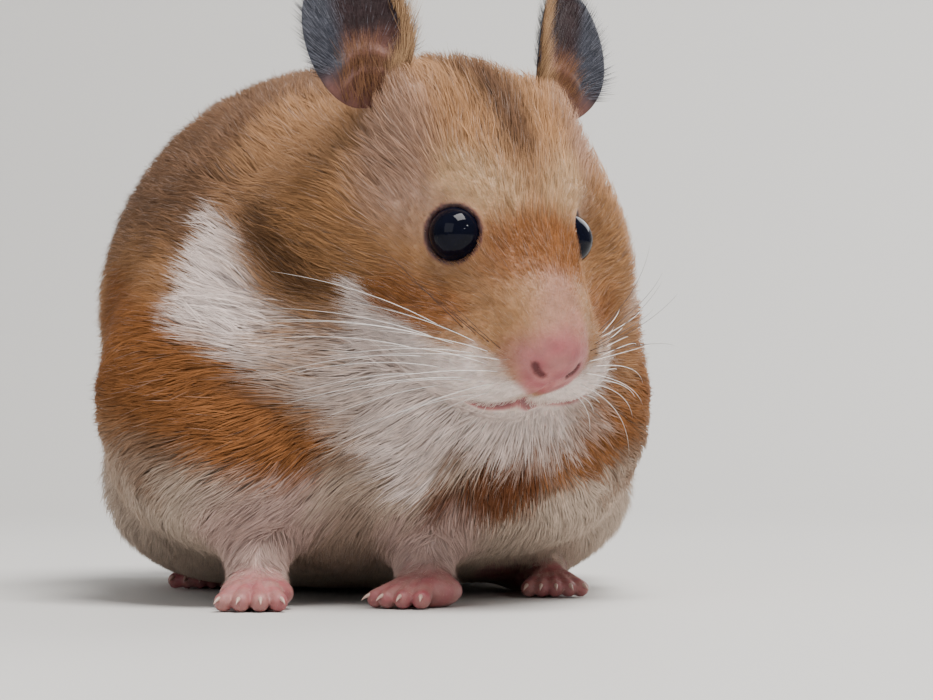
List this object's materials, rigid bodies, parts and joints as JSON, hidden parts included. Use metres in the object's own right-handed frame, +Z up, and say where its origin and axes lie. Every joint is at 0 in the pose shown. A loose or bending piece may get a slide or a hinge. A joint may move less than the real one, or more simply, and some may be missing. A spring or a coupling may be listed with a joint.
{
  "type": "syrian hamster",
  "caption": "Life-size still model of a Syrian hamster crouching on all fours, its head turned to its left.",
  "frame": {"origin": "middle of the animal's footprint, on the floor it stands on", "axes": "+Y from its nose to its tail, +X to its own left, +Z up"},
  "size_m": [0.0687, 0.1116, 0.0717],
  "materials": {
    "body_fur": "soft agouti fur, matte",
    "face_fur": "short golden fur, matte",
    "white_fur": "soft white fur, matte",
    "bare_skin": "bare pink skin, slightly moist",
    "ear_skin": "thin dark grey skin with fine down",
    "eye": "wet black eye, glossy"
  },
  "bodies": {
    "root": {"trunk": "body_fur", "neck": "body_fur", "head": "face_fur", "lower_jaw": "white_fur", "nose": "bare_skin", "ear_left": "ear_skin", "ear_right": "ear_skin", "eye_left": "eye", "eye_right": "eye", "foreleg_left": "white_fur", "foreleg_right": "white_fur", "forefoot_left": "bare_skin", "forefoot_right": "bare_skin", "hind_leg_left": "body_fur", "hind_leg_right": "body_fur", "hind_foot_left": "bare_skin", "hind_foot_right": "bare_skin", "tail": "bare_skin"}
  },
  "joints": []
}
